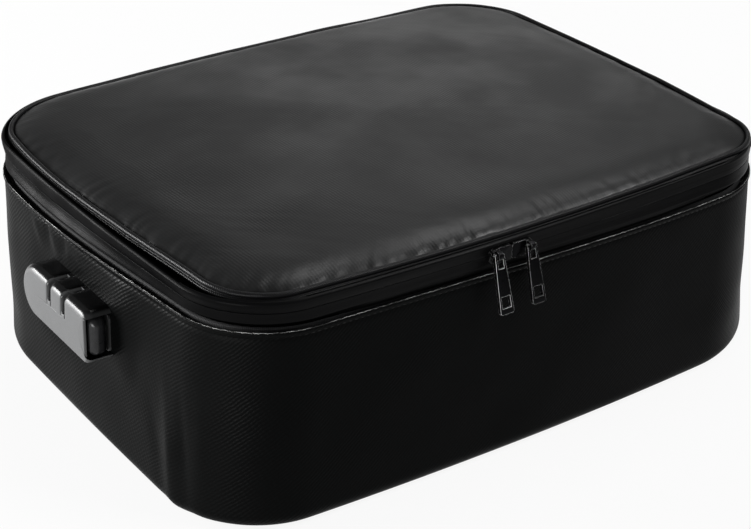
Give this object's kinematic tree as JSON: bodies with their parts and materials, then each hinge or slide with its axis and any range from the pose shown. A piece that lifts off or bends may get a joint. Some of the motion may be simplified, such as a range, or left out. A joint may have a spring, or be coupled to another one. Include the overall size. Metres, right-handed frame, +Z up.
{
  "type": "fireproof document bag",
  "caption": "Rounded fire-resistant cloth case with a crowned hinged lid, a hidden zip closed by sliders with pulls, and a side-mounted combination lock that takes the pulls.",
  "frame": {"origin": "middle of the base, on the floor", "axes": "+X to the right along the front, +Y to the back, +Z up; the zip pulls are at -Y and the lock is on the -X wall"},
  "size_m": [0.3948, 0.3028, 0.1311],
  "materials": {
    "shell_cloth": "coated glass-fibre twill, low sheen",
    "felt": "needled insulating felt",
    "wadding": "soft needled wadding",
    "board": "stiff dark board",
    "lining": "aluminised lining cloth",
    "binding": "woven tape",
    "piping": "coated cloth over a cord",
    "zip_tape": "smooth coated tape, satin",
    "hinge_cloth": "coated cloth",
    "coil": "moulded",
    "stop": "moulded",
    "slider": "dark plating",
    "pull": "dark plating, bright edges",
    "lock_shell": "satin face, glossy top",
    "button": "glossy",
    "latch": "stamped",
    "steel": "plated",
    "spring_wire": "drawn wire",
    "dial": "moulded",
    "sleeve": "turned"
  },
  "bodies": {
    "case": {"case_wall": "shell_cloth", "case_bottom": "shell_cloth", "case_insulation": "felt", "base_board": "board", "case_liner": "lining", "case_binding": "binding", "case_zip_tape": "zip_tape", "case_zip_coil": "coil", "case_zip_stops": "stop", "hinge_cloth_case": "hinge_cloth", "lock_housing": "lock_shell", "lock_base_plate": "lock_shell", "lock_back_plate": "steel", "lock_screws": "steel", "dial_shaft": "steel", "button_spring": "spring_wire"},
    "lid": {"lid_panel": "shell_cloth", "lid_padding": "wadding", "lid_insulation": "felt", "lid_liner": "lining", "lid_piping": "piping", "lid_zip_tape": "zip_tape", "lid_zip_coil": "coil", "lid_zip_stops": "stop", "hinge_cloth_lid": "hinge_cloth"},
    "slider_l": {"slider_left": "slider"},
    "slider_r": {"slider_right": "slider"},
    "pull_l": {"pull_left": "pull"},
    "pull_r": {"pull_right": "pull"},
    "dial_1": {"dial_wheel_1": "dial", "dial_sleeve_1": "sleeve"},
    "dial_2": {"dial_wheel_2": "dial", "dial_sleeve_2": "sleeve"},
    "dial_3": {"dial_wheel_3": "dial", "dial_sleeve_3": "sleeve"},
    "release": {"release_button": "button", "latch_slide": "latch"}
  },
  "joints": [
    {"name": "lid_hinge", "type": "hinge", "parent": "case", "child": "lid", "pos_m": [0, 0.1445, 0.114], "axis": [-1, 0, 0], "range_deg": [0, 180]},
    {"name": "slider_left_run", "type": "slide", "parent": "case", "child": "slider_l", "axis": [1, 0, 0], "range_m": [-0.085, 0]},
    {"name": "slider_right_run", "type": "slide", "parent": "case", "child": "slider_r", "axis": [1, 0, 0], "range_m": [0, 0.128]},
    {"name": "pull_left_swing", "type": "hinge", "parent": "slider_l", "child": "pull_l", "pos_m": [-0.0316, -0.1482, 0.1154], "axis": [-1, 0, 0], "range_deg": [-17, 158]},
    {"name": "pull_right_swing", "type": "hinge", "parent": "slider_r", "child": "pull_r", "pos_m": [-0.0114, -0.1482, 0.1154], "axis": [-1, 0, 0], "range_deg": [-17, 158]},
    {"name": "dial_1_turn", "type": "hinge", "parent": "case", "child": "dial_1", "pos_m": [-0.19667, 0.0103, 0.06098], "axis": [0, 1, 0], "continuous": true},
    {"name": "dial_2_turn", "type": "hinge", "parent": "case", "child": "dial_2", "pos_m": [-0.19667, -0.0029, 0.06098], "axis": [0, 1, 0], "continuous": true},
    {"name": "dial_3_turn", "type": "hinge", "parent": "case", "child": "dial_3", "pos_m": [-0.19667, -0.0161, 0.06098], "axis": [0, 1, 0], "continuous": true},
    {"name": "release_press", "type": "slide", "parent": "case", "child": "release", "axis": [0, 1, 0], "range_m": [0, 0.0045], "stiffness_N_per_m": 400, "springref_m": -0.004, "deforming": ["button_spring"]}
  ]
}
